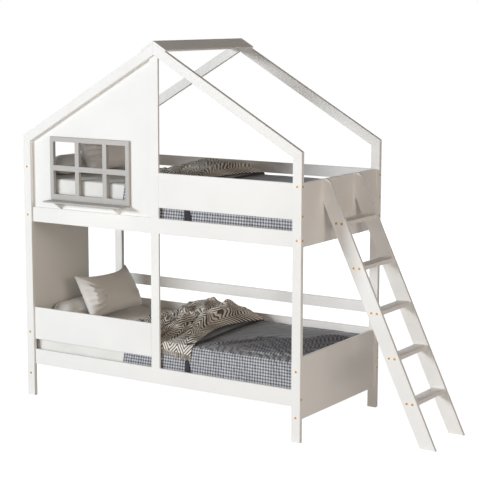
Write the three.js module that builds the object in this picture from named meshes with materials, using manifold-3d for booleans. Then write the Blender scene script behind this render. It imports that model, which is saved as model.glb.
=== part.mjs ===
// Child's bunk bed in the shape of a little house: a boarded front with a lattice window,
// four corner posts that carry two pairs of rafters, two dressed beds and a fixed end ladder.
// Millimetres. X runs from the head to the foot, Y from the open front to the rear, Z up.
// Inside the bed group X is 0 on the head posts' outer face and Y is 0 on the front posts' face.

import * as THREE from 'three';
import { mergeVertices } from 'three/addons/utils/BufferGeometryUtils.js';
import Module from 'manifold-3d';

const wasm = await Module();
wasm.setup();

// Clearances and edge easing
const softGap = 0.3;
const slopeGap = 0.3;
const boardEasing = 1.5;
const panelEasing = 1;
const mattressEasing = 14;
const cutOverrun = 1;

// Standard mattress that the frame is built round
const mattressLength = 2000;
const mattressWidth = 900;
const mattressHeight = 190;
const mattressEndClearance = 3;
const beddingClearance = 3.7;
const coverSideThickness = 6;

// Posts and overall frame
const postWidth = 60;
const postThickness = 28;
const eavesRise = 147;
const roofPitch = THREE.MathUtils.degToRad(30);
const rafterWidth = 60;
const ridgeCapWidth = 100;
const ridgeCapThickness = 12;

// Rails, guards and end panels
const railRecess = 13;
const railThickness = 15;
const upperRailBottom = 1156;
const upperRailHeight = 96;
const lowerRailBottom = 212;
const lowerRailHeight = 101;
const centrePostWidth = 62;
const centrePostOffset = 7.5;
const guardSlotUpper = 66;
const guardHeightUpper = 213;
const guardSlotLower = 67;
const guardHeightLower = 212;
const rearRailHeight = 71;
const rearRailGap = 67;
const lowerRearRailGap = 96;
const backBoardHeight = 203;
const endPanelThickness = 20;
const endPanelInset = 17;
const footPanelDrop = 80;
const lowerEndPanelRise = 193;
const privacyPanelWidth = 587;

// Boarded front, window and sill
const wallPanelThickness = 8;
const wallPanelClearance = 5;
const wallPanelPostLap = 25;
const wallPanelRafterLap = 35;
const windowHeadMargin = 153;
const windowFootMargin = 160.5;
const windowRailGap = 59;
const windowEavesRise = 35.5;
const windowProud = 16;
const windowStileWidth = 28;
const windowMullionWidth = 31;
const paneWidthShares = [175 / 510, 188 / 510, 147 / 510];
const windowSillRailHeight = 36;
const windowCrossBarHeight = 33;
const windowTopRailHeight = 30.5;
const sillInset = 10;
const sillThickness = 9;
const sillReach = 107;
const bracketThickness = 12;
const leftBracketInset = 58;
const rightBracketInset = 86;
const bracketReach = 73;
const bracketRailClearance = 1;
const bracketNose = 6;

// Slatted bases
const ledgerWidth = 35;
const ledgerHeight = 30;
const slatThickness = 18;
const slatWidth = 70;
const slatCount = 14;
const slatSideInset = 2;
const slatEndClearance = 4;
const strapWidth = 30;
const strapThickness = 2;
const strapSink = 0.5;
const strapInset = 160;
const lowerSlatRise = 64;
const upperSlatRise = 96;

// Ladder
const ladderLean = THREE.MathUtils.degToRad(25.2);
const ladderOffCentre = 2;
const ladderClearWidth = 371;
const stileThickness = 20;
const stileWidth = 92.5;
const stileBearingHeight = 142;
const stileCornerRadius = 40;
const treadCount = 5;
const treadThickness = 25;
const treadDepth = 77;
const treadSetback = 11;
const firstTreadCentre = 256.5;
const topTreadRise = 22.5;

// Bedding
const coverHeadDistance = 707;
const coverTopThickness = 10;
const coverFootClearance = 4;
const coverHemClearance = 2;
const coverFoldClearance = 4;
const coverFoldWidth = 80;
const coverFoldHeight = 22;
const coverCrease = 3;
const coverCreaseSpacing = 230;
const throwPastCentrePost = 236.5;
const throwSpan = 740;
const throwRearMargin = 56;
const throwHang = 88;
const hangWallClearance = 14.5;
const throwThickness = 8;
const throwRipple = 1;
const throwFoldDepth = 26;
const throwFoldSpacing = 165;
const throwHemWidth = 90;
const throwHeapLower = 140;
const throwHeapUpper = 105;
const pillowWidth = 550;
const pillowHeight = 330;
const pillowFront = 72;
const pillowBack = 38;
const pillowDrawIn = 22;
const pillowLean = THREE.MathUtils.degToRad(28);
const pillowHeadDistance = 198;
const pillowRearMargin = 96;
const bolsterWidth = 180;
const bolsterHeight = 130;
const bolsterFrontMargin = 16;
const bolsterRearMargin = 84;
const bolsterDrawIn = 10;

// Counts for the soft forms
const coverPlainColumns = 6;
const coverFoldColumns = 5;
const coverFootColumns = 13;
const coverSideRows = 2;
const coverTopRows = 7;
const throwColumns = 18;
const throwHangRows = 3;
const throwTopRows = 13;
const pillowColumns = 14;
const pillowRows = 10;
const bolsterColumns = 12;
const bolsterRows = 8;
const cornerSegments = 8;

// Levels and places that follow from the sizes above
const headPanelInner = endPanelInset + endPanelThickness;
const mattressHead = headPanelInner + mattressEndClearance;
const bedLength = mattressLength + 2 * mattressHead;
const headPostInner = postWidth;
const footPostOuter = bedLength;
const footPostInner = bedLength - postWidth;
const footPanelInner = bedLength - headPanelInner;
const footPanelOuter = bedLength - endPanelInset;
const frontPostBack = postThickness;
const panelBack = frontPostBack + wallPanelThickness;
const coverFront = panelBack + beddingClearance;
const mattressFront = coverFront + coverSideThickness + softGap;
const mattressRear = mattressFront + mattressWidth;
const rearPostFront = mattressRear + softGap + coverSideThickness + beddingClearance;
const bedDepth = rearPostFront + postThickness;
const frontRailFace = railRecess;
const rearRailFace = rearPostFront;
const upperRailTop = upperRailBottom + upperRailHeight;
const lowerRailTop = lowerRailBottom + lowerRailHeight;
const upperGuardBottom = upperRailTop + guardSlotUpper;
const lowerGuardBottom = lowerRailTop + guardSlotLower;
const endPanelTop = upperGuardBottom + guardHeightUpper;
const footPanelBottom = lowerRailBottom - footPanelDrop;
const lowerEndPanelTop = lowerRailTop + lowerEndPanelRise;
const backBoardTop = lowerRailTop + backBoardHeight;
const eavesHeight = endPanelTop + eavesRise;
const ridgeX = bedLength / 2;
const centrePostX = ridgeX - centrePostOffset;
const centrePostHead = centrePostX - centrePostWidth / 2;
const centrePostFoot = centrePostX + centrePostWidth / 2;
const wallPanelRight = centrePostHead + wallPanelPostLap;
const rafterDepth = rafterWidth / Math.cos(roofPitch);
const windowLeft = headPostInner + windowHeadMargin;
const windowRight = centrePostHead - windowFootMargin;
const windowBottom = upperRailTop + windowRailGap;
const windowTop = eavesHeight + windowEavesRise;
const windowFront = frontPostBack - windowProud;
const sillFront = frontPostBack - sillReach;
const sillLeft = windowLeft + sillInset;
const sillBottom = windowBottom - sillThickness;
const lowerSlatTop = lowerRailBottom + lowerSlatRise;
const upperSlatTop = upperRailBottom + upperSlatRise;
const ladderNotchHeight = endPanelTop - stileBearingHeight;
const stileFootBack = footPanelOuter + ladderNotchHeight * Math.tan(ladderLean);
const stileFootFront = stileFootBack + stileWidth / Math.cos(ladderLean);
const ladderCentreY = bedDepth / 2 - ladderOffCentre;
const nearStileFront = ladderCentreY - ladderClearWidth / 2 - stileThickness;
const farStileFront = ladderCentreY + ladderClearWidth / 2;
const treadSpacing = (upperRailTop + topTreadRise - firstTreadCentre) / (treadCount - 1);
const throwFootEdge = centrePostFoot + throwPastCentrePost;
const throwRearEdge = mattressRear - throwRearMargin;
const coverFoldStart = throwFootEdge + coverFoldClearance;

// Height of the rafters' underside at a distance from the head, on either slope
function underRafter(x) {
  const fromEaves = Math.min(x, bedLength - x) - postWidth;
  return eavesHeight + fromEaves * Math.tan(roofPitch);
}

// Materials
function paint(color, roughness) {
  return new THREE.MeshStandardMaterial({ color, roughness, metalness: 0 });
}
const whiteLacquer = paint(0xeeebe6, 0.42);
const greyLacquer = paint(0xb9b6b1, 0.45);
const paleWood = paint(0xd9c6a3, 0.7);
const mattressTicking = paint(0xe8e6e2, 0.9);
const checkedCotton = paint(0x55565b, 0.88);
const knittedThrow = paint(0x9c8c7a, 0.95);
const pillowSateen = paint(0x94897d, 0.6);
const bolsterCotton = paint(0xefedea, 0.85);

// Outlines are closed lists of points in the plane of a board
function rectangle(left, bottom, right, top, easing) {
  return [
    [left + easing, bottom], [right - easing, bottom], [right, bottom + easing], [right, top - easing],
    [right - easing, top], [left + easing, top], [left, top - easing], [left, bottom + easing],
  ];
}
function plainRectangle(left, bottom, right, top) {
  return [[left, bottom], [right, bottom], [right, top], [left, top]];
}
function toPath(PathClass, outline) {
  return new PathClass(outline.map(([u, v]) => new THREE.Vector2(u, v)));
}

// A board cut from a shape, its edges eased on both faces. Its thickness runs along its own Z.
function boardGeometry(shape, thickness, easing, curveSegments = 1) {
  const geometry = new THREE.ExtrudeGeometry(shape, {
    depth: thickness - 2 * easing, steps: 1, curveSegments,
    bevelEnabled: true, bevelThickness: easing, bevelSize: easing, bevelOffset: -easing, bevelSegments: 1,
  });
  geometry.translate(0, 0, easing);
  return asClosed(geometry);
}
function asClosed(geometry) {
  geometry.deleteAttribute('normal');
  geometry.deleteAttribute('uv');
  return mergeVertices(geometry);
}
// Solids for cuts and joins
function asSolid(geometry) {
  const vertProperties = new Float32Array(geometry.attributes.position.array);
  const triVerts = new Uint32Array(geometry.index.array);
  return new wasm.Manifold(new wasm.Mesh({ numProp: 3, vertProperties, triVerts }));
}
function asGeometry(solid) {
  const mesh = solid.getMesh();
  const geometry = new THREE.BufferGeometry();
  geometry.setAttribute('position', new THREE.BufferAttribute(mesh.vertProperties, mesh.numProp));
  geometry.setIndex(new THREE.BufferAttribute(mesh.triVerts, 1));
  return geometry;
}
function boxGeometry(left, right, front, back, bottom, top) {
  const geometry = new THREE.BoxGeometry(right - left, back - front, top - bottom);
  geometry.translate((left + right) / 2, (front + back) / 2, (bottom + top) / 2);
  return asClosed(geometry);
}
function addMesh(parent, name, geometry, material) {
  const mesh = new THREE.Mesh(geometry, material);
  mesh.name = name;
  parent.add(mesh);
  return mesh;
}

// A board that faces the front: the shape is drawn in X and Z, the thickness runs in Y
function addFrontBoard(name, shape, front, back, easing, material, curveSegments) {
  const mesh = addMesh(bed, name, boardGeometry(shape, back - front, easing, curveSegments), material);
  mesh.rotation.x = Math.PI / 2;
  mesh.position.y = back;
  return mesh;
}
function addFrontRail(name, left, right, bottom, top, front, back, material = whiteLacquer) {
  const shape = toPath(THREE.Shape, rectangle(left, bottom, right, top, boardEasing));
  return addFrontBoard(name, shape, front, back, boardEasing, material);
}

// A board that faces the end: the shape is drawn in Y and Z, the thickness runs in X
function addEndBoard(name, shape, left, right, easing, material) {
  const mesh = addMesh(bed, name, boardGeometry(shape, right - left, easing), material);
  mesh.rotation.set(Math.PI / 2, 0, Math.PI / 2, 'ZXY');
  mesh.position.x = left;
  return mesh;
}

const bed = new THREE.Group();

// Corner posts
function addPosts() {
  const sides = [['front', 0], ['rear', rearPostFront]];
  for (const [side, front] of sides) {
    const back = front + postThickness;
    addFrontRail(`post_${side}_left`, 0, postWidth, 0, eavesHeight, front, back);
    addFrontRail(`post_${side}_right`, footPostInner, footPostOuter, 0, eavesHeight, front, back);
  }
}

// Rafters stand on the posts' level tops and meet at a plumb cut under the ridge
function rafterOutline() {
  const underEaves = underRafter(postWidth);
  const underRidge = underRafter(ridgeX);
  const overEaves = underRafter(0) + rafterDepth;
  return [
    [0, underEaves], [postWidth, underEaves], [ridgeX, underRidge],
    [ridgeX, underRidge + rafterDepth], [0, overEaves],
  ];
}
function mirrorAboutRidge(outline) {
  return outline.map(([x, z]) => [bedLength - x, z]).reverse();
}
function addRafters() {
  const headSlope = rafterOutline();
  const footSlope = mirrorAboutRidge(headSlope);
  const sides = [['front', 0], ['rear', rearPostFront]];
  for (const [side, front] of sides) {
    const back = front + postThickness;
    const headShape = toPath(THREE.Shape, headSlope);
    const footShape = toPath(THREE.Shape, footSlope);
    addFrontBoard(`rafter_${side}_left`, headShape, front, back, boardEasing, whiteLacquer);
    addFrontBoard(`rafter_${side}_right`, footShape, front, back, boardEasing, whiteLacquer);
  }
}

// Two ridge boards lie on the rafters from front to rear and are mitred together at the ridge
function addRidgeCaps() {
  const seat = underRafter(ridgeX) + rafterDepth + slopeGap / Math.cos(roofPitch);
  const run = ridgeCapWidth * Math.cos(roofPitch);
  const fall = ridgeCapWidth * Math.sin(roofPitch);
  const leanIn = ridgeCapThickness * Math.sin(roofPitch);
  const rise = ridgeCapThickness * Math.cos(roofPitch);
  const headCap = [
    [ridgeX, seat], [ridgeX, seat + ridgeCapThickness / Math.cos(roofPitch)],
    [ridgeX - run - leanIn, seat - fall + rise], [ridgeX - run, seat - fall],
  ];
  const headShape = toPath(THREE.Shape, headCap);
  const footShape = toPath(THREE.Shape, mirrorAboutRidge(headCap));
  addFrontBoard('ridge_cap_left', headShape, 0, bedDepth, panelEasing, whiteLacquer);
  addFrontBoard('ridge_cap_right', footShape, 0, bedDepth, panelEasing, whiteLacquer);
}

// Long rails, guards and back boards butt between the posts' inner faces
function addRails() {
  const layers = [
    ['front', frontRailFace, frontRailFace + railThickness],
    ['rear', rearRailFace, rearRailFace + railThickness],
  ];
  for (const [side, front, back] of layers) {
    addFrontRail(`side_rail_upper_${side}`, headPostInner, footPostInner, upperRailBottom, upperRailTop, front, back);
    addFrontRail(`side_rail_lower_${side}`, headPostInner, footPostInner, lowerRailBottom, lowerRailTop, front, back);
  }
  const [, frontLayerFace, frontLayerBack] = layers[0];
  const [, rearLayerFace, rearLayerBack] = layers[1];
  addFrontRail('guard_upper_front', centrePostFoot, footPostInner, upperGuardBottom, endPanelTop,
    frontLayerFace, frontLayerBack);
  addFrontRail('guard_lower_front', headPostInner, centrePostHead,
    lowerGuardBottom, lowerGuardBottom + guardHeightLower, frontLayerFace, frontLayerBack);
  const rearTopBottom = endPanelTop - rearRailHeight;
  const rearLowTop = rearTopBottom - rearRailGap;
  const lowerRearRailBottom = backBoardTop + lowerRearRailGap;
  const rearBoards = [
    ['guard_upper_rear_top', rearTopBottom, endPanelTop],
    ['guard_upper_rear_low', rearLowTop - rearRailHeight, rearLowTop],
    ['guard_lower_rear_rail', lowerRearRailBottom, lowerRearRailBottom + rearRailHeight],
    ['back_board_lower', lowerRailTop, backBoardTop],
  ];
  for (const [name, bottom, top] of rearBoards) {
    addFrontRail(name, headPostInner, footPostInner, bottom, top, rearLayerFace, rearLayerBack);
  }
}

// The centre post is in two lengths: one between the rails, one from the upper rail to the rafters
function addCentrePosts() {
  const back = frontRailFace + railThickness;
  addFrontRail('centre_post_lower', centrePostHead, centrePostFoot, lowerRailTop, upperRailBottom, frontRailFace, back);
  const sideDrop = slopeGap / Math.cos(roofPitch);
  const gableCut = [
    [centrePostHead, upperRailTop], [centrePostFoot, upperRailTop],
    [centrePostFoot, underRafter(centrePostFoot) - sideDrop],
    [ridgeX, underRafter(ridgeX) - sideDrop],
    [centrePostHead, underRafter(centrePostHead) - sideDrop],
  ];
  addFrontBoard('centre_post_upper', toPath(THREE.Shape, gableCut), frontRailFace, back, boardEasing, whiteLacquer);
}

// End panels stand between the front and rear posts. The privacy panel fills only the front part.
function addEndPanels() {
  const headLeft = endPanelInset;
  const panels = [
    ['head_panel_upper', headLeft, upperRailBottom, endPanelTop, rearPostFront],
    ['head_panel_middle', headLeft, lowerEndPanelTop, upperRailBottom, frontPostBack + privacyPanelWidth],
    ['head_panel_lower', headLeft, lowerRailBottom, lowerEndPanelTop, rearPostFront],
    ['foot_panel_upper', footPanelInner, upperRailBottom, endPanelTop, rearPostFront],
    ['foot_panel_lower', footPanelInner, footPanelBottom, lowerEndPanelTop, rearPostFront],
  ];
  for (const [name, left, bottom, top, rear] of panels) {
    const shape = toPath(THREE.Shape, rectangle(frontPostBack, bottom, rear, top, boardEasing));
    addEndBoard(name, shape, left, left + endPanelThickness, boardEasing, whiteLacquer);
  }
}

// The boarded wall is screwed on behind the posts and rafter and stands on the bed ledger
function addWallPanel() {
  const left = headPanelInner + wallPanelClearance;
  const right = wallPanelRight;
  const bottom = upperSlatTop - slatThickness;
  const lap = wallPanelRafterLap / Math.cos(roofPitch);
  const shape = toPath(THREE.Shape, [
    [left, bottom], [right, bottom], [right, underRafter(right) + lap], [left, underRafter(left) + lap],
  ]);
  shape.holes.push(toPath(THREE.Path, plainRectangle(
    windowLeft - slopeGap, windowBottom - slopeGap, windowRight + slopeGap, windowTop + slopeGap,
  )));
  addFrontBoard('wall_panel', shape, frontPostBack, panelBack, panelEasing, whiteLacquer);
}

// The window is a lattice of six open panes in two rows
function windowGeometry() {
  const shape = toPath(THREE.Shape, rectangle(windowLeft, windowBottom, windowRight, windowTop, boardEasing));
  const depth = panelBack - windowFront;
  const clearWidth = windowRight - windowLeft - 2 * windowStileWidth - 2 * windowMullionWidth;
  const lowerRow = windowBottom + windowSillRailHeight;
  const paneHeight = (windowTop - windowTopRailHeight - windowCrossBarHeight - lowerRow) / 2;
  const upperRow = lowerRow + paneHeight + windowCrossBarHeight;
  let lattice = asSolid(boardGeometry(shape, depth, boardEasing));
  let left = windowLeft + windowStileWidth;
  for (const widthShare of paneWidthShares) {
    const paneWidth = clearWidth * widthShare;
    for (const bottomOfPane of [lowerRow, upperRow]) {
      const pane = boxGeometry(left, left + paneWidth, bottomOfPane, bottomOfPane + paneHeight,
        -cutOverrun, depth + cutOverrun);
      lattice = lattice.subtract(asSolid(pane));
    }
    left += paneWidth + windowMullionWidth;
  }
  return asGeometry(lattice);
}
function addWindow() {
  const mesh = addMesh(bed, 'window_frame', windowGeometry(), greyLacquer);
  mesh.rotation.x = Math.PI / 2;
  mesh.position.y = panelBack;
}

// The sill is a thin shelf under the window, on two triangular brackets
function addSill() {
  const bracketHeight = windowRailGap - sillThickness - bracketRailClearance;
  addFrontRail('window_sill', sillLeft, windowRight, sillBottom, windowBottom,
    sillFront, frontPostBack, greyLacquer);
  const outline = [
    [frontPostBack, sillBottom], [frontPostBack - bracketReach, sillBottom],
    [frontPostBack - bracketReach, sillBottom - bracketNose],
    [frontPostBack - bracketNose, sillBottom - bracketHeight], [frontPostBack, sillBottom - bracketHeight],
  ];
  const lefts = {
    left: sillLeft + leftBracketInset,
    right: windowRight - rightBracketInset - bracketThickness,
  };
  for (const side in lefts) {
    const shape = toPath(THREE.Shape, outline);
    addEndBoard(`sill_bracket_${side}`, shape, lefts[side], lefts[side] + bracketThickness, panelEasing, whiteLacquer);
  }
}

// Ledgers on the rails carry a roll of slats, which two straps hold at their spacing
function slatRollGeometry() {
  const left = headPostInner + slatEndClearance;
  const length = footPostInner - slatEndClearance - left;
  const spacing = (length - slatWidth) / (slatCount - 1);
  const front = mattressFront + slatSideInset;
  const back = mattressRear - slatSideInset;
  const strapFronts = [front + strapInset, back - strapInset - strapWidth];
  const strapLeft = left + slatWidth / 2;
  let roll = null;
  for (let index = 0; index < slatCount; index += 1) {
    const slatLeft = left + index * spacing;
    const slat = asSolid(boxGeometry(slatLeft, slatLeft + slatWidth, front, back, -slatThickness, 0));
    roll = roll ? roll.add(slat) : slat;
  }
  for (const strapFront of strapFronts) {
    const strapTop = strapSink - slatThickness;
    const strap = asSolid(boxGeometry(
      strapLeft, left + length - slatWidth / 2, strapFront, strapFront + strapWidth,
      strapTop - strapThickness, strapTop,
    ));
    roll = roll.add(strap);
  }
  return asGeometry(roll);
}
function addBedBase(level, slatTop) {
  const ledgerTop = slatTop - slatThickness;
  const bottom = ledgerTop - ledgerHeight;
  addFrontRail(`ledger_${level}_front`, headPostInner, footPostInner, bottom, ledgerTop,
    frontPostBack, frontPostBack + ledgerWidth, paleWood);
  addFrontRail(`ledger_${level}_rear`, headPostInner, footPostInner, bottom, ledgerTop,
    rearPostFront - ledgerWidth, rearPostFront, paleWood);
  const roll = addMesh(bed, `slat_roll_${level}`, slatRollGeometry(), paleWood);
  roll.position.z = slatTop;
}

// The ladder's stiles lean on the foot panel's face and are cut level at the floor
function stileShape() {
  const slope = Math.tan(ladderLean);
  const topFront = stileFootFront - endPanelTop * slope;
  const cornerAngle = Math.PI / 2 + ladderLean;
  const tangent = stileCornerRadius / Math.tan(cornerAngle / 2);
  const shape = new THREE.Shape();
  shape.moveTo(footPanelOuter, ladderNotchHeight);
  shape.lineTo(stileFootBack, 0);
  shape.lineTo(stileFootFront, 0);
  shape.lineTo(topFront + tangent * Math.sin(ladderLean), endPanelTop - tangent * Math.cos(ladderLean));
  shape.quadraticCurveTo(topFront, endPanelTop, topFront - tangent, endPanelTop);
  shape.lineTo(footPanelOuter, endPanelTop);
  return shape;
}
function addLadder() {
  const stiles = [['near', nearStileFront], ['far', farStileFront]];
  for (const [side, front] of stiles) {
    addFrontBoard(`ladder_stile_${side}`, stileShape(), front, front + stileThickness,
      boardEasing, whiteLacquer, cornerSegments);
  }
  for (let index = 0; index < treadCount; index += 1) {
    const centre = firstTreadCentre + index * treadSpacing;
    const left = stileFootBack - centre * Math.tan(ladderLean) + treadSetback;
    addFrontRail(`ladder_tread_${index + 1}`, left, left + treadDepth,
      centre - treadThickness / 2, centre + treadThickness / 2,
      nearStileFront + stileThickness, farStileFront);
  }
}

// Joins a grid of outer points to a grid of inner points as one closed body. Columns run with the
// first direction and rows with the second, so that their cross product points outwards.
function shellGeometry(rows, columns, outerPoint, innerPoint, walled) {
  const positions = [];
  const addQuad = (a, b, c, d) => positions.push(...a, ...b, ...c, ...a, ...c, ...d);
  for (let row = 0; row < rows; row += 1) {
    for (let column = 0; column < columns; column += 1) {
      const corners = [[row, column], [row, column + 1], [row + 1, column + 1], [row + 1, column]];
      const outer = corners.map(([r, c]) => outerPoint(r, c));
      const inner = corners.map(([r, c]) => innerPoint(r, c));
      addQuad(...outer);
      addQuad(inner[3], inner[2], inner[1], inner[0]);
      if (walled && row === 0) addQuad(inner[0], inner[1], outer[1], outer[0]);
      if (walled && row === rows - 1) addQuad(outer[3], outer[2], inner[2], inner[3]);
      if (walled && column === 0) addQuad(inner[3], inner[0], outer[0], outer[3]);
      if (walled && column === columns - 1) addQuad(inner[1], inner[2], outer[2], outer[1]);
    }
  }
  const geometry = new THREE.BufferGeometry();
  geometry.setAttribute('position', new THREE.Float32BufferAttribute(positions, 3));
  return mergeVertices(geometry);
}
function shareAlong(shares, position) {
  const scaled = Math.min(Math.max(position, 0), 1) * (shares.length - 1);
  const index = Math.min(Math.floor(scaled), shares.length - 2);
  return THREE.MathUtils.lerp(shares[index], shares[index + 1], scaled - index);
}

// The bedspread lies over the mattress and is tucked down both long sides. A thick turned-back
// fold crosses it, and it creases softly towards the foot.
function coverGeometry(mattressTop, hem) {
  const foldEnd = coverFoldStart + coverFoldWidth;
  const coverHead = mattressHead + coverHeadDistance;
  const footEdge = mattressHead + mattressLength - coverFootClearance;
  const columns = coverPlainColumns + coverFoldColumns + coverFootColumns;
  const rows = 2 * coverSideRows + coverTopRows;
  const innerFront = mattressFront - softGap;
  const innerRear = mattressRear + softGap;
  const innerTop = mattressTop + softGap;
  const stationX = (column) => {
    const pastPlain = column - coverPlainColumns;
    const pastFold = pastPlain - coverFoldColumns;
    if (pastFold >= 0) return THREE.MathUtils.lerp(foldEnd, footEdge, pastFold / coverFootColumns);
    if (pastPlain >= 0) return coverFoldStart + coverFoldWidth * pastPlain / coverFoldColumns;
    return THREE.MathUtils.lerp(coverHead, coverFoldStart, column / coverPlainColumns);
  };
  const innerPoint = (row, column) => {
    const fromRear = rows - row;
    const x = stationX(column);
    if (row < coverSideRows) return [x, innerFront, THREE.MathUtils.lerp(hem, innerTop, row / coverSideRows)];
    if (fromRear < coverSideRows) return [x, innerRear, THREE.MathUtils.lerp(hem, innerTop, fromRear / coverSideRows)];
    return [x, THREE.MathUtils.lerp(innerFront, innerRear, (row - coverSideRows) / coverTopRows), innerTop];
  };
  const outerPoint = (row, column) => {
    const [x, y, z] = innerPoint(row, column);
    const fromRear = rows - row;
    if (row < coverSideRows) return [x, y - coverSideThickness, z];
    if (fromRear < coverSideRows) return [x, y + coverSideThickness, z];
    const atFront = row === coverSideRows;
    const atRear = fromRear === coverSideRows;
    const foldShare = THREE.MathUtils.clamp((x - coverFoldStart) / coverFoldWidth, 0, 1);
    const footShare = THREE.MathUtils.clamp((x - foldEnd) / (footEdge - foldEnd), 0, 1);
    const acrossShare = Math.sin(Math.PI * (row - coverSideRows) / coverTopRows);
    const crease = coverCrease * Math.sin((x + y) * 2 * Math.PI / coverCreaseSpacing) * Math.sin(Math.PI * footShare);
    const fold = coverFoldHeight * Math.sin(Math.PI * foldShare);
    const sideways = coverSideThickness * (Number(atRear) - Number(atFront));
    return [x, y + sideways, z + coverTopThickness + fold + crease * acrossShare];
  };
  return shellGeometry(rows, columns, outerPoint, innerPoint, true);
}

// The knitted throw is heaped across the bed and hangs over its front edge, on the foot side of
// the boarded wall. Shares run from the front edge to the rear, between its two side limits.
const throwHeadShares = [1, 0.46, 0.08, 0, 0.03, 0.18, 0.46];
const throwFootShares = [0, 0.07, 0.13, 0.13, 0.12, 0.05, 0.02];
const hangDrawInShare = 0.03;
const heapShares = [
  { across: 0.62, along: 0.62, spreadAcross: 0.3, spreadAlong: 0.26, height: 1 },
  { across: 0.86, along: 0.86, spreadAcross: 0.16, spreadAlong: 0.14, height: 0.45 },
  { across: 0.2, along: 0.55, spreadAcross: 0.22, spreadAlong: 0.24, height: 0.32 },
];
function heapShareAt(across, along) {
  let height = 0;
  for (const heap of heapShares) {
    const offAcross = (across - heap.across) / heap.spreadAcross;
    const offAlong = (along - heap.along) / heap.spreadAlong;
    height += heap.height * Math.exp(-(offAcross * offAcross + offAlong * offAlong));
  }
  return height;
}
function throwGeometry(bedTop, heapHeight) {
  const rows = throwHangRows + throwTopRows;
  const throwHeadEdge = throwFootEdge - throwSpan;
  const cornerInset = wallPanelRight + hangWallClearance - throwHeadEdge;
  const frontEdge = coverFront - softGap;
  const seat = bedTop + softGap;
  const innerPoint = (row, column) => {
    const along = (row - throwHangRows) / throwTopRows;
    const hanging = Math.max(0, 1 - row / throwHangRows);
    const footInset = throwSpan * (shareAlong(throwFootShares, along) + hangDrawInShare * hanging);
    const left = throwHeadEdge + cornerInset * shareAlong(throwHeadShares, along);
    const x = THREE.MathUtils.lerp(left, throwFootEdge - footInset, column / throwColumns);
    if (hanging > 0) return [x, frontEdge, seat - throwHang * hanging];
    return [x, THREE.MathUtils.lerp(frontEdge, throwRearEdge, along), seat];
  };
  const outerPoint = (row, column) => {
    const [x, y, z] = innerPoint(row, column);
    const ripple = throwRipple * Math.sin(x * 2 * Math.PI / throwFoldSpacing);
    if (row < throwHangRows) return [x, y - throwThickness + ripple, z];
    const across = column / throwColumns;
    const along = (row - throwHangRows) / throwTopRows;
    const fromSide = Math.min(across, 1 - across) * throwSpan;
    const fromEnd = Math.min(y - frontEdge, throwRearEdge - y);
    const hem = Math.min(1, Math.min(fromSide, fromEnd) / throwHemWidth);
    const foldShare = 0.5 + 0.5 * Math.sin((x - y) * 2 * Math.PI / throwFoldSpacing);
    const heap = heapHeight * heapShareAt(across, along) + throwFoldDepth * foldShare;
    const sideways = row === throwHangRows ? throwThickness - ripple : 0;
    return [x, y - sideways, z + throwThickness + heap * hem];
  };
  return shellGeometry(rows, throwColumns, outerPoint, innerPoint, true);
}

// A cushion is crowned on both faces, thin at its seams and drawn in between its corners
function cushionGeometry(width, height, front, back, drawIn, columns, rows) {
  const crown = (share) => Math.sqrt(Math.max(0, 1 - share ** 4));
  const pointAt = (row, column, thickness) => {
    const across = 2 * column / columns - 1;
    const up = 2 * row / rows - 1;
    const x = across * (width / 2 - drawIn * (1 - up * up));
    const y = up * (height / 2 - drawIn * (1 - across * across));
    return [x, y, thickness * crown(across) * crown(up)];
  };
  const outerPoint = (row, column) => pointAt(row, column, front);
  const innerPoint = (row, column) => pointAt(row, column, -back);
  return shellGeometry(rows, columns, outerPoint, innerPoint, false);
}

// Each bed is dressed alike: mattress, bolster at the head, leaning pillow, bedspread and throw
function addBedding(level, slatTop, heapHeight) {
  const mattressBottom = slatTop + softGap;
  const mattressTop = mattressBottom + mattressHeight;
  const outline = rectangle(mattressHead, mattressBottom, mattressHead + mattressLength, mattressTop, mattressEasing);
  addFrontBoard(`mattress_${level}`, toPath(THREE.Shape, outline), mattressFront, mattressRear,
    mattressEasing, mattressTicking);
  const hem = slatTop - slatThickness + coverHemClearance;
  addMesh(bed, `bedspread_${level}`, coverGeometry(mattressTop, hem), checkedCotton);
  const coverTop = mattressTop + softGap + coverTopThickness;
  addMesh(bed, `throw_${level}`, throwGeometry(coverTop, heapHeight), knittedThrow);

  const bolsterLength = mattressWidth - bolsterFrontMargin - bolsterRearMargin;
  const bolster = addMesh(bed, `bolster_${level}`, cushionGeometry(bolsterLength, bolsterWidth,
    bolsterHeight / 2, bolsterHeight / 2, bolsterDrawIn, bolsterColumns, bolsterRows), bolsterCotton);
  bolster.rotation.z = Math.PI / 2;
  bolster.position.set(mattressHead + bolsterWidth / 2,
    mattressFront + bolsterFrontMargin + bolsterLength / 2, mattressTop + softGap + bolsterHeight / 2);

  const pillow = addMesh(bed, `pillow_${level}`, cushionGeometry(pillowWidth, pillowHeight,
    pillowFront, pillowBack, pillowDrawIn, pillowColumns, pillowRows), pillowSateen);
  pillow.rotation.set(Math.PI / 2 - pillowLean, 0, Math.PI / 2, 'ZXY');
  const halfRise = pillowHeight / 2 * Math.cos(pillowLean);
  pillow.position.set(mattressHead + pillowHeadDistance,
    mattressRear - pillowRearMargin - pillowWidth / 2, mattressTop + softGap + halfRise);
}

addPosts();
addRafters();
addRidgeCaps();
addRails();
addCentrePosts();
addEndPanels();
addWallPanel();
addWindow();
addSill();
addBedBase('lower', lowerSlatTop);
addBedBase('upper', upperSlatTop);
addLadder();
addBedding('lower', lowerSlatTop, throwHeapLower);
addBedding('upper', upperSlatTop, throwHeapUpper);

// The part's origin is on the floor under the middle of its box, ladder and sill included
const group = new THREE.Group();
bed.position.set(-stileFootFront / 2, -(sillFront + bedDepth) / 2, 0);
group.add(bed);
export default group;
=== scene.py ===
"""Dresses the bunk bed's frame: lacquer, fixings, mattresses, bedding, light and camera."""

import math

import bmesh
import bpy
import numpy as np
from mathutils import Matrix, Vector


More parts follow.
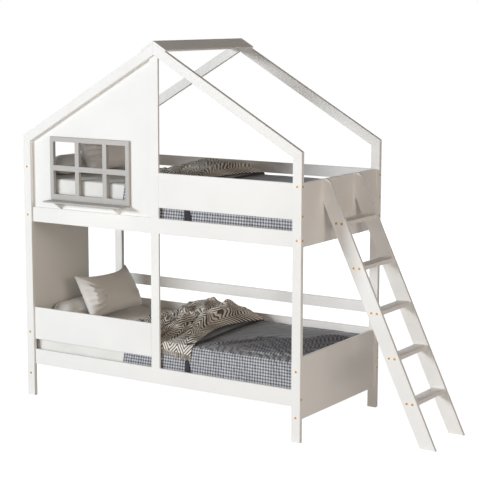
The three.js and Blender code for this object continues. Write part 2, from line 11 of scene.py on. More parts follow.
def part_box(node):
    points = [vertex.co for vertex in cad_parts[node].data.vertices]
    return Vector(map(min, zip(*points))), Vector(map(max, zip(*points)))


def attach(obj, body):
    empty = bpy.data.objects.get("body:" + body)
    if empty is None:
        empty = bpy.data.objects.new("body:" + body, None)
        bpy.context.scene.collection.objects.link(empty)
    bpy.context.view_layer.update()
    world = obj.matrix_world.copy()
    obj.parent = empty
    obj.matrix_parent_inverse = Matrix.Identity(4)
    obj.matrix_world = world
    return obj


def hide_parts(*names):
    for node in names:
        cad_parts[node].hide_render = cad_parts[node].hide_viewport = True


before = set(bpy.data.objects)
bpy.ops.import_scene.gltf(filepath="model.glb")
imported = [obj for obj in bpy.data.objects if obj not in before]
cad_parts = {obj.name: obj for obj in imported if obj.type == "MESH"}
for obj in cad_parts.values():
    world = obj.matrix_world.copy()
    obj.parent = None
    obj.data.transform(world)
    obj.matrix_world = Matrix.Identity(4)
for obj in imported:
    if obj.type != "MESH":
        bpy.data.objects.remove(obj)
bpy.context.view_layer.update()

bl_info = {
    "name": "Bunk Bed Dressing",
    "version": (1, 0, 0),
    "blender": (4, 5, 0),
    "location": "View3D > Sidebar > Bunk Bed",
    "description": "Finishes and bedding for a house-shaped bunk bed",
    "category": "Object",
}

MM = 0.001
LEVELS = ("lower", "upper")

# Places are written in millimetres from the head post's front corner on the floor
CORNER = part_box("post_front_left")[0]


def place(x, y, z):
    """A point of the bed in millimetres, as a point of the scene in metres."""
    return Vector((CORNER.x + x * MM, CORNER.y + y * MM, z * MM))


def span(node):
    """The lowest and highest corners of a CAD node in millimetres from the bed's corner."""
    low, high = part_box(node)
    return [(corner - Vector((CORNER.x, CORNER.y, 0))) / MM for corner in (low, high)]


# Colours and materials


def linear(hex_colour):
    """An sRGB hex colour as the linear values that shaders take."""
    channels = [int(hex_colour[i : i + 2], 16) / 255 for i in (1, 3, 5)]
    return [c / 12.92 if c <= 0.04045 else ((c + 0.055) / 1.055) ** 2.4 for c in channels]


def darker(colour, share):
    """A linear colour taken down to a share of its light."""
    return [channel * share for channel in colour]


def add(owner, kind, settings=(), links=()):
    """Adds a shader node. Settings are its properties and its inputs' values, and a ramp's stops.
    Links join other nodes, or their sockets, to its inputs."""
    tree = owner.node_tree
    made = tree.nodes.new("ShaderNode" + kind)
    for name, value in dict(settings).items():
        if name == "stops":
            elements = made.color_ramp.elements
            while len(elements) < len(value):
                elements.new(1)
            for element, (position, colour) in zip(elements, value):
                element.position, element.color = position, (*colour, 1)
        elif isinstance(name, str) and hasattr(made, name):
            setattr(made, name, value)
        else:
            made.inputs[name].default_value = value
    for name, source in dict(links).items():
        tree.links.new(getattr(source, "outputs", [source])[0], made.inputs[name])
    return made


def new_material(name, space="Object"):
    """An empty node material and one kind of coordinates of the piece that wears it."""
    material = bpy.data.materials.new(name)
    material.use_nodes = True
    material.node_tree.nodes.clear()
    return material, add(material, "TexCoord").outputs[space]


def finish(material, settings, links):
    """Ends a material in one Principled shader."""
    shader = add(material, "BsdfPrincipled", settings, links)
    add(material, "OutputMaterial", links={"Surface": shader})
    return material


def finish_cloth(material, tone, relief, roughness, sheen, sheen_roughness):
    """Ends a material as cloth, with the short fuzzy sheen of its fibres."""
    return finish(material, {"Roughness": roughness, "IOR": 1.45, "Sheen Weight": sheen,
                             "Sheen Roughness": sheen_roughness}, {"Base Color": tone, "Normal": relief})


def grey(value):
    """A ramp colour for a plain number, such as a roughness."""
    return (value, value, value)


def per_metre(size):
    """How often a pattern of a size in millimetres repeats in a metre, which is its scale."""
    return 1 / (size * MM)


def per_axis(*sizes):
    """A pattern's scale along each axis, from its sizes in millimetres."""
    return [per_metre(size) for size in sizes]


def wave_over(material, distance, repeat):
    """A sine wave from -1 to 1 that repeats at so many millimetres of a distance."""
    turn = add(material, "Math", {"operation": "MULTIPLY", 1: math.tau * per_metre(repeat)}, {0: distance})
    return add(material, "Math", {"operation": "SINE"}, {0: turn})


def satin_lacquer(name, colour, shadow_share, roughness):
    """Satin lacquer sprayed on planed pine: an even film that hides the colour of the wood, with a
    faint ripple of orange peel, a trace of the grain below and slightly duller, darker patches."""
    material, space = new_material(name)
    patches = add(material, "TexNoise", {"Scale": per_metre(454.5), "Detail": 2}, {"Vector": space})
    tone = add(material, "ValToRGB", {"stops": [(0.25, darker(colour, shadow_share)), (0.62, colour)]},
               {"Fac": patches})
    gloss = add(material, "ValToRGB", {"stops": [(0.2, grey(roughness + 0.1)), (0.8, grey(roughness))]},
                {"Fac": patches})
    # Orange peel is about 1 mm from crest to crest, drawn at 4 mm so that it shows
    peel = add(material, "TexNoise", {"Scale": per_metre(4), "Detail": 2}, {"Vector": space})
    film = add(material, "Bump", {"Strength": 0.05, "Distance": 0.3 * MM}, {"Height": peel})
    # The grain's lines are 2 to 3 mm apart, drawn at 5.6 mm so that they show
    along = add(material, "Mapping", {"Scale": per_axis(55.56, 5.556, 5.556)}, {"Vector": space})
    grain = add(material, "TexNoise", {"Scale": 1, "Detail": 4, "Roughness": 0.6}, {"Vector": along})
    relief = add(material, "Bump", {"Strength": 0.06, "Distance": 0.3 * MM},
                 {"Height": grain, "Normal": film})
    return finish(material, {"IOR": 1.5, "Specular IOR Level": 0.3},
                  {"Base Color": tone, "Roughness": gloss, "Normal": relief})


def planed_spruce(name):
    """Planed, unfinished spruce: straight fine grain along the board, with darker late wood."""
    material, space = new_material(name)
    # Growth rings are 2 to 3 mm apart, drawn at 8 mm so that they show
    along = add(material, "Mapping", {"Scale": per_axis(7.937, 74.07, 7.937)}, {"Vector": space})
    rings = add(material, "TexNoise", {"Scale": 1, "Detail": 5, "Roughness": 0.62}, {"Vector": along})
    stops = [(0.3, linear("#c9a877")), (0.5, linear("#dcc297")), (0.68, linear("#e6d3ae"))]
    tone = add(material, "ValToRGB", {"stops": stops}, {"Fac": rings})
    # Fibres are well under 0.1 mm wide, drawn at 1.9 mm so that they show
    fine = add(material, "Mapping", {"Scale": per_axis(1.852, 41.67, 1.852)}, {"Vector": space})
    fibre = add(material, "TexNoise", {"Scale": 1, "Detail": 3}, {"Vector": fine})
    gloss = add(material, "ValToRGB", {"stops": [(0, grey(0.75)), (1, grey(0.6))]}, {"Fac": fibre})
    relief = add(material, "Bump", {"Strength": 0.5, "Distance": 0.4 * MM}, {"Height": fibre})
    return finish(material, {"IOR": 1.5}, {"Base Color": tone, "Roughness": gloss, "Normal": relief})


def zinc_plated_steel(name):
    """Bolt heads in yellow-passivated zinc on steel: a warm, slightly uneven brass tone."""
    material, space = new_material(name)
    cloud = add(material, "TexNoise", {"Scale": per_metre(6.25), "Detail": 3}, {"Vector": space})
    tone = add(material, "ValToRGB", {"stops": [(0.35, linear("#94661a")), (0.7, linear("#cf9c3a"))]},
               {"Fac": cloud})
    gloss = add(material, "ValToRGB", {"stops": [(0.3, grey(0.42)), (0.7, grey(0.28))]}, {"Fac": cloud})
    return finish(material, {"Metallic": 1}, {"Base Color": tone, "Roughness": gloss})


def woven_cotton(name, colour, shadow_share, sheen):
    """Plain-weave cotton: fine threads, faint rumples, soft uneven shade and a short fuzzy sheen."""
    material, space = new_material(name)
    cloud = add(material, "TexNoise", {"Scale": per_metre(200), "Detail": 3}, {"Vector": space})
    tone = add(material, "ValToRGB", {"stops": [(0.3, darker(colour, shadow_share)), (0.66, colour)]},
               {"Fac": cloud})
    # Threads are 0.3 mm apart, drawn at 3 mm so that they show
    weave = add(material, "Mapping", {"Scale": per_axis(3.03, 3.03, 8.333)}, {"Vector": space})
    threads = add(material, "TexNoise", {"Scale": 1, "Detail": 1}, {"Vector": weave})
    rumple = add(material, "TexNoise", {"Scale": per_metre(71.43), "Detail": 4, "Roughness": 0.55},
                 {"Vector": space})
    soft = add(material, "Bump", {"Strength": 0.35, "Distance": 6 * MM}, {"Height": rumple})
    relief = add(material, "Bump", {"Strength": 0.35, "Distance": 0.6 * MM},
                 {"Height": threads, "Normal": soft})
    return finish_cloth(material, tone, relief, 0.85, sheen, 0.5)


# The gingham's check and its slanted pleats, and how far in from the hems its painted shade turns it to
# plain charcoal
CHECK_REPEAT = 19
PLEAT_REPEAT = 60
PAINTED_SHADE_FROM, PAINTED_SHADE_TO = 160, 440


def checked_cotton(name, size):
    """Yarn-dyed gingham: white and grey yarns cross in stripes, so its squares have three tones."""
    material, space = new_material(name, "UV")
    flat = add(material, "Mapping", {"Scale": (*size, 1)}, {"Vector": space})
    axes = add(material, "SeparateXYZ", links={"Vector": flat}).outputs
    stripes = []
    for axis in ("X", "Y"):
        wave = wave_over(material, axes[axis], CHECK_REPEAT)
        stripes.append(add(material, "Math", {"operation": "MULTIPLY_ADD", 1: 0.25, 2: 0.25}, {0: wave}))
    both = add(material, "Math", {"operation": "ADD"}, {0: stripes[0], 1: stripes[1]})
    # Slubs are thick places in the yarn, 33 mm long, drawn 3.8 mm wide so that they show
    yarn = add(material, "Mapping", {"Scale": (*per_axis(3.846, 33.33), 1)}, {"Vector": flat})
    slub = add(material, "TexNoise", {"Scale": 1, "Detail": 2}, {"Vector": yarn})
    uneven = add(material, "Math", {"operation": "MULTIPLY_ADD", 1: 0.24}, {0: slub, 2: both})
    stops = [(0.3, linear("#d0d0d2")), (0.55, linear("#abacb0")), (0.78, linear("#7a7c82")),
             (1, linear("#4c4d53"))]
    check = add(material, "ValToRGB", {"stops": stops}, {"Fac": uneven})
    # Painted shade: the top of the bed lies in shade, so there the check gives way to plain dark charcoal
    inside = add(material, "Math", {"operation": "PINGPONG", 1: size[1] / 2}, {0: axes["Y"]})
    painted_shade = add(material, "MapRange", {"interpolation_type": "SMOOTHSTEP", "From Min": PAINTED_SHADE_FROM * MM,
                                       "From Max": PAINTED_SHADE_TO * MM, "To Max": 0.8}, {"Value": inside})
    tone = add(material, "MixRGB", {"Color2": (*linear("#3c3b3f"), 1)}, {"Fac": painted_shade, "Color1": check})
    # Threads are 0.4 mm apart, drawn at 1.5 mm so that they show
    weave = add(material, "Mapping", {"Scale": (*per_axis(1.4286, 1.4286), 1)}, {"Vector": flat})
    threads = add(material, "TexNoise", {"Scale": 1, "Detail": 1}, {"Vector": weave})
    # The slanted pleats wander, and fade out towards the top of the bed
    slant = add(material, "Math", {"operation": "MULTIPLY_ADD", 1: 0.7}, {0: inside, 2: axes["X"]})
    drift = add(material, "TexNoise", {"Scale": per_metre(142.86), "Detail": 1}, {"Vector": flat})
    wander = add(material, "Math", {"operation": "MULTIPLY_ADD", 1: 0.16}, {0: drift, 2: slant})
    pleat = wave_over(material, wander, PLEAT_REPEAT)
    hung = add(material, "Math", {"operation": "SUBTRACT", 0: 1}, {1: painted_shade})
    pleats = add(material, "Math", {"operation": "MULTIPLY"}, {0: pleat, 1: hung})
    folds = add(material, "Bump", {"Strength": 0.8, "Distance": 6 * MM}, {"Height": pleats})
    relief = add(material, "Bump", {"Strength": 0.4, "Distance": 0.6 * MM},
                 {"Height": threads, "Normal": folds})
    return finish_cloth(material, tone, relief, 0.8, 0.15, 0.5)


def charcoal_cotton(name):
    """The cover's turned-back lining: dense charcoal cotton, nearly black with a slight bloom."""
    material, space = new_material(name)
    cloud = add(material, "TexNoise", {"Scale": per_metre(111.1), "Detail": 4}, {"Vector": space})
    tone = add(material, "ValToRGB", {"stops": [(0.3, linear("#1d1d21")), (0.7, linear("#2b2b30"))]},
               {"Fac": cloud})
    # Threads are 0.4 mm apart, drawn at 3 mm so that they show
    threads = add(material, "TexNoise", {"Scale": per_metre(3.03), "Detail": 1}, {"Vector": space})
    relief = add(material, "Bump", {"Strength": 0.4, "Distance": 0.8 * MM}, {"Height": threads})
    return finish_cloth(material, tone, relief, 0.8, 0.2, 0.4)


# The knit's sizes: a zigzag's width and depth, and how far apart rows, paler bands and stitches are
ZIGZAG_WIDTH = 110
ZIGZAG_DEPTH = 80
ROW_REPEAT = 30
BAND_REPEAT = 300
STITCH_REPEAT = 5


def zigzag_knit(name, size):
    """Wool-blend knit in zigzag rows of cream and brown: thick yarn, so every row stands out."""
    material, space = new_material(name, "UV")
    flat = add(material, "Mapping", {"Scale": (*size, 1)}, {"Vector": space})
    axes = add(material, "SeparateXYZ", links={"Vector": flat}).outputs
    zigzag = add(material, "Math", {"operation": "PINGPONG", 1: ZIGZAG_WIDTH / 2 * MM}, {0: axes["X"]})
    slope = 2 * ZIGZAG_DEPTH / ZIGZAG_WIDTH
    across = add(material, "Math", {"operation": "MULTIPLY_ADD", 1: slope}, {0: zigzag, 2: axes["Y"]})
    wave = wave_over(material, across, ROW_REPEAT)
    # The yarn's tufts are about 8 mm apart
    fluffy = add(material, "Mapping", {"Scale": (*per_axis(7.692, 7.692), 1)}, {"Vector": flat})
    wool = add(material, "TexNoise", {"Scale": 1, "Detail": 3}, {"Vector": fluffy})
    band = wave_over(material, across, BAND_REPEAT)
    tint = add(material, "Math", {"operation": "MULTIPLY_ADD", 1: 0.16, 2: 0.12}, {0: band})
    level = add(material, "Math", {"operation": "MULTIPLY_ADD", 1: 0.36}, {0: wave, 2: tint})
    rows = add(material, "Math", {"operation": "MULTIPLY_ADD", 1: 0.7}, {0: wool, 2: level})
    stops = [(0.2, linear("#3f3024")), (0.42, linear("#5a4938")), (0.5, linear("#efe7d9")),
             (0.8, linear("#fbf6ec"))]
    tone = add(material, "ValToRGB", {"stops": stops}, {"Fac": rows})
    stitch = wave_over(material, axes["X"], STITCH_REPEAT)
    ridged = add(material, "Bump", {"Strength": 0.6, "Distance": 3 * MM}, {"Height": wave})
    relief = add(material, "Bump", {"Strength": 0.5, "Distance": 1.2 * MM},
                 {"Height": stitch, "Normal": ridged})
    return finish_cloth(material, tone, relief, 0.95, 0.35, 0.6)


# Modelling helpers


def deselect():
    """Nothing is selected, the nodes of the frame included."""
    bpy.ops.object.select_all(action="DESELECT")


def take(piece):
    """Only this piece is selected and active."""
    deselect()
    piece.select_set(True)
    bpy.context.view_layer.objects.active = piece


def thicken(piece, thickness, offset):
    """Gives a sheet its thickness: inwards at an offset of -1, and half to each side at 0."""
    take(piece)
    modifier = piece.modifiers.new("Thickness", "SOLIDIFY")
    modifier.thickness, modifier.offset = thickness, offset
    bpy.ops.object.modifier_apply(modifier=modifier.name)


def settle(piece):
    """Puts the piece's place into its mesh."""
    take(piece)
    bpy.ops.object.transform_apply(location=True, rotation=True, scale=True)


def dress(piece, material):
    """Gives a finished piece its material, smooth faces and its place in the part."""
    piece.data.materials.clear()
    piece.data.materials.append(material)
    take(piece)
    bpy.ops.object.shade_smooth()
    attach(piece, "root")
    return piece


def points_of(piece):
    """The piece's vertices as rows of x, y and z."""
    points = np.empty(len(piece.data.vertices) * 3)
    piece.data.vertices.foreach_get("co", points)
    return points.reshape(-1, 3)


def rows_of(*columns):
    """Places as rows, from their separate coordinates."""
    return np.stack(columns, axis=1)


def move_points(piece, points):
    """Moves the piece's vertices to new places."""
    piece.data.vertices.foreach_set("co", points.reshape(-1))
    piece.data.update()


def to_scene(points):
    """Millimetres from the bed's corner to metres of the scene."""
    return points * MM + np.array((CORNER.x, CORNER.y, 0))


def cloth_grid(name, columns, rows, shape):
    """A grid of cloth, laid by a shape function from shares along and across it to millimetres."""
    deselect()
    bpy.ops.mesh.primitive_grid_add(x_subdivisions=columns, y_subdivisions=rows, size=1)
    piece = bpy.context.object
    piece.name = piece.data.name = name
    flat = points_of(piece)
    move_points(piece, to_scene(shape(flat[:, 0] + 0.5, flat[:, 1] + 0.5)))
    return piece


def smooth_waves(seed, places, wavelength, count=7):
    """Seeded sum of sine waves over places in millimetres, from about -1 to 1."""
    chance = np.random.default_rng(seed)
    total = np.zeros(len(places))
    for _ in range(count):
        angle = chance.uniform(0, math.tau)
        length = wavelength * chance.uniform(0.7, 1.5)
        direction = np.array((math.cos(angle), math.sin(angle)))
        phase = chance.uniform(0, math.tau)
        total += np.sin(places @ direction * math.tau / length + phase)
    return total / math.sqrt(2 * count)


def ramp(value, start, end):
    """0 up to the start, 1 from the end on, and a straight rise between them."""
    return np.clip((value - start) / (end - start), 0, 1)


def cut_up(cuts):
    """Cuts each face of the active piece into smaller ones."""
    bpy.ops.object.mode_set(mode="EDIT")
    bpy.ops.mesh.select_all(action="SELECT")
    bpy.ops.mesh.subdivide(number_cuts=cuts)
    bpy.ops.object.mode_set(mode="OBJECT")


def join_copies(first, name, moves):
    """Copies a small piece once for each move, which is a matrix, and joins the copies."""
    pattern = first.data.copy()
    pieces = [first]
    for index, move in enumerate(moves):
        if index:
            pieces.append(bpy.data.objects.new("copy", pattern.copy()))
            bpy.context.collection.objects.link(pieces[-1])
        pieces[-1].data.transform(move)
    deselect()
    for piece in pieces:
        piece.select_set(True)
    bpy.context.view_layer.objects.active = first
    bpy.ops.object.join()
    first.name = first.data.name = name
    return first


def soft_block(name, low, high, radius, cuts):
    """A block with rounded edges, as a stuffed case has, from a cube cut into small faces. It gives
    the piece and the places of its points in millimetres."""
    deselect()
    bpy.ops.mesh.primitive_cube_add(size=1)
    piece = bpy.context.object
    piece.name = piece.data.name = name
    cut_up(cuts)
    low, high = np.array(low), np.array(high)
    points = low + (points_of(piece) + 0.5) * (high - low)
    core = np.clip(points, low + radius, high - radius)
    outward = points - core
    length = np.linalg.norm(outward, axis=1, keepdims=True)
    points = core + outward / np.maximum(length, 1e-9) * np.minimum(length, radius)
    return piece, points


# Settings that a user would change


def colour_setting(name, description, hex_colour):
    """A colour that the panel shows."""
    return bpy.props.FloatVectorProperty(
        name=name, description=description, subtype="COLOR", size=3, min=0, max=1,
        default=linear(hex_colour))


def length_setting(name, description, millimetres):
    """A length that the panel shows."""
    return bpy.props.FloatProperty(
        name=name, description=description, unit="LENGTH", min=0, default=millimetres * MM)


def power_setting(name, description, watts):
    """A lamp's power that the panel shows."""
    return bpy.props.FloatProperty(name=name, description=description, unit="POWER", default=watts)


class BUNKBED_PG_stage(bpy.types.PropertyGroup):
    """Light on the bed."""

    key_power: power_setting("Key lamp", "Power of the far lamp in front", 1620)
    floor_power: power_setting("Floor lamp", "Power of the long, low lamp in front", 96)
    back_power: power_setting("Back lamp", "Power of the faint lamp behind the bed", 110)
    side_power: power_setting("Side lamp", "Power of the warm lamp at the foot", 185)
    room_strength: bpy.props.FloatProperty(
        name="Room light", description="Strength of the light from all round", default=0.03)


class BUNKBED_PG_frame(bpy.types.PropertyGroup):
    """Finish of the frame."""

    lacquer: colour_setting("Lacquer", "Colour of the frame's lacquer", "#f4f2ee")
    window: colour_setting("Window lacquer", "Colour of the window and its sill", "#bdbab5")
    bolt_width: length_setting("Bolt head", "Width of the round bolt heads", 14)
    bolt_rise: length_setting("Bolt head rise", "How far the bolt heads stand proud", 1.6)


class BUNKBED_PG_bedding(bpy.types.PropertyGroup):
    """Sizes and colours of the bedding."""

    sheet: colour_setting("Fitted sheet", "Colour of the fitted sheets", "#eceae5")
    pillow: colour_setting("Pillow", "Colour of the pillowcases", "#f1eee9")
    bolster: colour_setting("Bolster", "Colour of the bolsters", "#f2f1ee")
    cover_thickness: length_setting("Bedspread", "Thickness of the bedspread", 5)
    throw_thickness: length_setting("Throw", "Thickness of the knitted throw", 5)
    tassel_length: length_setting("Tassels", "Length of the throw's tassels", 35)


# Stage: the floor, the lamps and the camera

# Where the photograph was taken from, worked out from the corners of the frame
CAMERA_PLACE = (4.93404, -7.73489, 2.51806)
CAMERA_YAW = 32.751
CAMERA_PITCH = -8.836
CAMERA_ROLL = 0.096
CAMERA_LENS = 111.605

# Each lamp's place, the point that it faces, and its width and height, in metres, and its colour
LAMPS = {
    "key": ((-7.5, -13.5, 4.6), (0, 0, 1), (6, 2), "#f3f9ff"),
    "floor": ((2, -6.5, 0.9), (2, 0, 0.9), (12, 1.2), "#fffdfa"),
    "back": ((-1.5, 8.5, 2), (0, 0, 1), (4, 2), "#f8fbff"),
    "side": ((7.5, -3, 3.2), (0.5, 0, 1.2), (5, 2.4), "#fff0e4"),
}

FLOOR_SIZE = 60
# Keeps the floor's face from meeting the feet's
FLOOR_DROP = 0.0005
# The floor shows its shadow up to the first distance from the middle and is plain white from the second
FLOOR_SHADE = (1.5, 2.4)
FLOOR_GLOW = 0.9


def add_camera(context):
    """The camera at the photograph's angle."""
    bpy.ops.object.camera_add()
    camera = context.object
    turn = Matrix.Rotation(math.radians(CAMERA_YAW), 4, "Z")
    tilt = Matrix.Rotation(math.radians(90 + CAMERA_PITCH), 4, "X")
    roll = Matrix.Rotation(math.radians(CAMERA_ROLL), 4, "Z")
    camera.matrix_world = Matrix.Translation(CAMERA_PLACE) @ turn @ tilt @ roll
    camera.data.lens = CAMERA_LENS
    camera.data.clip_end = 200
    context.scene.camera = camera


def add_lamp(name, power, location, target, size, colour):
    """A large soft lamp that faces a point."""
    bpy.ops.object.light_add(type="AREA", location=location)
    lamp = bpy.context.object
    lamp.name = name
    lamp.rotation_euler = (Vector(target) - Vector(location)).to_track_quat("-Z", "Y").to_euler()
    lamp.data.shape = "RECTANGLE"
    lamp.data.size, lamp.data.size_y = size
    lamp.data.energy = power
    lamp.data.color = linear(colour)


def seen_rays(owner):
    """1 for rays from the camera, off shiny faces and through glass, and 0 for the light on the object."""
    path = add(owner, "LightPath").outputs
    seen = add(owner, "Math", {"operation": "MAXIMUM"},
               {0: path["Is Camera Ray"], 1: path["Is Glossy Ray"]})
    return add(owner, "Math", {"operation": "MAXIMUM"}, {0: seen, 1: path["Is Transmission Ray"]})


def studio_floor(name):
    """Matt white paint that keeps the shadow near the object and turns plain white far off."""
    material, space = new_material(name)
    distance = add(material, "VectorMath", {"operation": "LENGTH"}, {0: space}).outputs["Value"]
    far = add(material, "MapRange", {"interpolation_type": "SMOOTHSTEP", "From Min": FLOOR_SHADE[0],
                                     "From Max": FLOOR_SHADE[1]}, {"Value": distance})
    glow = add(material, "Math", {"operation": "MULTIPLY_ADD", 1: 1 - FLOOR_GLOW, 2: FLOOR_GLOW}, {0: far})
    seen = add(material, "Math", {"operation": "MULTIPLY"}, {0: glow, 1: seen_rays(material)})
    matt = add(material, "BsdfDiffuse", {"Color": (0.8, 0.79, 0.775, 1)})
    lift = add(material, "Emission", links={"Strength": seen})
    both = add(material, "AddShader", links={0: matt, 1: lift})
    add(material, "OutputMaterial", links={"Surface": both})
    material.cycles.emission_sampling = "NONE"
    return material


class BUNKBED_OT_stage(bpy.types.Operator):
    """Lays the floor, hangs the lamps and sets the camera"""

    bl_idname = "bunkbed.stage"
    bl_label = "Stage"

    def execute(self, context):
        settings = context.scene.bunkbed_stage
        deselect()
        bpy.ops.mesh.primitive_plane_add(size=FLOOR_SIZE, location=(0, 0, -FLOOR_DROP))
        floor = context.object
        floor.name = "floor"
        settle(floor)
        floor.data.materials.append(studio_floor("matt_white_floor"))
        for name, lamp in LAMPS.items():
            add_lamp(f"{name}_lamp", getattr(settings, f"{name}_power"), *lamp)
        world = bpy.data.worlds.new("studio_room")
        context.scene.world = world
        world.use_nodes = True
        world.node_tree.nodes.clear()
        world.cycles.sampling_method = "NONE"
        seen = seen_rays(world)
        strength = add(world, "Math", {"operation": "MULTIPLY_ADD", 1: 1 - settings.room_strength,
                                       2: settings.room_strength}, {0: seen})
        tint = add(world, "ValToRGB", {"stops": [(0, linear("#fff0e0")), (1, grey(1))]}, {"Fac": seen})
        sky = add(world, "Background", links={"Color": tint, "Strength": strength})
        add(world, "OutputWorld", links={"Surface": sky})
        context.scene.view_settings.view_transform = "Standard"
        add_camera(context)
        return {"FINISHED"}


# Frame: the CAD's own boards with their real finish


class BUNKBED_OT_frame(bpy.types.Operator):
    """Gives the boards, the window and the slats their finish"""

    bl_idname = "bunkbed.frame"
    bl_label = "Frame finish"

    def execute(self, context):
        settings = context.scene.bunkbed_frame
        white = satin_lacquer("white_satin_lacquer", settings.lacquer, 0.95, 0.5)
        window = satin_lacquer("grey_satin_lacquer", settings.window, 0.9, 0.42)
        bare = planed_spruce("planed_spruce")
        for name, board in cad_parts.items():
            material = white
            if name.startswith("window"):
                material = window
            if name.startswith(("ledger", "slat_roll")):
                material = bare
            board.data.materials.clear()
            board.data.materials.append(material)
        return {"FINISHED"}


# Bolt heads, each a low round cap with a socket. Their heights on the posts are read from the photograph.

BOLT_SIDES = 24
BOLT_SOCKET_WIDTH = 6
# Shares of a bolt head's rise
BOLT_BEVEL = 0.6
BOLT_SOCKET_DEPTH = 0.8
FRONT_BOLT_HEIGHTS = (1512, 1200, 426, 150)
FOOT_BOLT_HEIGHTS = {"front": (1512, 1340, 1200, 260), "rear": (1495, 1357, 1237, 324, 260)}
# Edges sharper than this stay crisp
BOLT_CREASE = math.radians(35)
# How far the treads are set in from their stiles' edge, and the bolts' distances from that edge
TREAD_SETBACK = 11
STILE_BOLT_INSETS = (33, 70)


def bolt_head(width, rise):
    """One bolt head that faces up, its foot on the ground plane at the origin."""
    deselect()
    bpy.ops.mesh.primitive_cylinder_add(
        vertices=BOLT_SIDES, radius=width / 2, depth=rise, location=(0, 0, rise / 2))
    head = bpy.context.object
    settle(head)
    bpy.ops.object.mode_set(mode="EDIT")
    shape = bmesh.from_edit_mesh(head.data)
    top = max(shape.faces, key=lambda face: face.calc_center_median().z)
    bpy.ops.mesh.select_all(action="DESELECT")
    for edge in top.edges:
        edge.select_set(True)
    bmesh.update_edit_mesh(head.data)
    bpy.ops.mesh.bevel(offset=rise * BOLT_BEVEL, segments=3)
    shape = bmesh.from_edit_mesh(head.data)
    bpy.ops.mesh.select_all(action="DESELECT")
    top = max(shape.faces, key=lambda face: (round(face.calc_center_median().z, 6), face.calc_area()))
    top.select_set(True)
    bmesh.update_edit_mesh(head.data)
    bpy.ops.mesh.inset(thickness=(width - BOLT_SOCKET_WIDTH * MM) / 2 - rise * BOLT_BEVEL)
    bpy.ops.mesh.extrude_region_move(TRANSFORM_OT_translate={"value": (0, 0, -rise * BOLT_SOCKET_DEPTH)})
    bpy.ops.object.mode_set(mode="OBJECT")
    return head


def bolt_places():
    """Where each bolt head sits, and the direction that it faces."""
    spots = []
    for post in ("post_front_left", "post_front_right"):
        low, high = span(post)
        for height in FRONT_BOLT_HEIGHTS:
            spots.append((place((low.x + high.x) / 2, low.y, height), (0, -1, 0)))
    for side, heights in FOOT_BOLT_HEIGHTS.items():
        low, high = span(f"post_{side}_right")
        for height in heights:
            spots.append((place(high.x, (low.y + high.y) / 2, height), (1, 0, 0)))
    sides = ((span("ladder_stile_near")[0].y, -1), (span("ladder_stile_far")[1].y, 1))
    for number in range(1, 6):
        low, high = span(f"ladder_tread_{number}")
        for inset in STILE_BOLT_INSETS:
            for side, facing in sides:
                spot = place(low.x - TREAD_SETBACK + inset, side, (low.z + high.z) / 2)
                spots.append((spot, (0, facing, 0)))
    return spots


class BUNKBED_OT_bolts(bpy.types.Operator):
    """Sets the bolt heads into the posts and the ladder"""

    bl_idname = "bunkbed.bolts"
    bl_label = "Bolt heads"

    def execute(self, context):
        settings = context.scene.bunkbed_frame
        moves = [
            Matrix.Translation(spot) @ Vector(facing).to_track_quat("Z", "Y").to_matrix().to_4x4()
            for spot, facing in bolt_places()
        ]
        heads = join_copies(bolt_head(settings.bolt_width, settings.bolt_rise), "bolt_heads", moves)
        dress(heads, zinc_plated_steel("yellow_zinc_steel"))
        take(heads)
        bpy.ops.object.shade_smooth_by_angle(angle=BOLT_CREASE)
        return {"FINISHED"}


# Mattresses in their fitted sheets

# Radius of its edges, and how many cuts divide each of its sides
MATTRESS_EDGE = 14
MATTRESS_CUTS = 58
# How far it stays inside its solid at the low corner and at the high one
MATTRESS_INSETS = (Vector((1, 1, 0.3)), Vector((1, 1, 0.6)))
# How far the sheet's ripples are apart and how deep they and the creases are
SHEET_RIPPLES = 46
SHEET_RIPPLE_DEPTH = 3.2
SHEET_CREASE_DEPTH = 4.5
# Creases down the sheet's front near the head: place, lean and half width
SHEET_CREASES = ((118, 0.05, 5), (150, 0.3, 8), (178, 0.45, 6), (236, 0.6, 9), (330, 0.5, 14))
# How far in from its faces the sheet's sides, front creases and top reach
SHEET_SIDE = 22
SHEET_FRONT = 40
SHEET_TOP = 6


def tuck_sheet(points, low, high, seed):
    """Draws the fitted sheet in: upright ripples that grow towards the hem, and a gentle top."""
    down = ramp(points[:, 2], high[2], low[2])
    along = points[:, 0] + points[:, 1]
    drift = 2.5 * smooth_waves(seed, points[:, :2], 400)
    ripple = 0.5 + 0.5 * np.sin(along * math.tau / SHEET_RIPPLES + drift)
    ripple *= np.clip(smooth_waves(seed + 1, points[:, :2], 500) + 0.35, 0, 1)
    depth = SHEET_RIPPLE_DEPTH * ripple * down ** 1.3 + 0.8
    at_front = points[:, 1] < low[1] + SHEET_FRONT
    for x, lean, width in SHEET_CREASES:
        gap = points[:, 0] - x - lean * (high[2] - points[:, 2])
        depth += SHEET_CREASE_DEPTH * np.exp(-((gap / width) ** 2)) * at_front
    middle = (np.array(low) + np.array(high)) / 2
    for axis in (0, 1):
        offset = points[:, axis] - middle[axis]
        edge = (high[axis] - low[axis]) / 2
        points[:, axis] -= np.sign(offset) * depth * (np.abs(offset) > edge - SHEET_SIDE)
    on_top = points[:, 2] > high[2] - SHEET_TOP
    points[:, 2] -= on_top * 1.2 * (1 + smooth_waves(seed + 2, points[:, :2], 260))
    return points


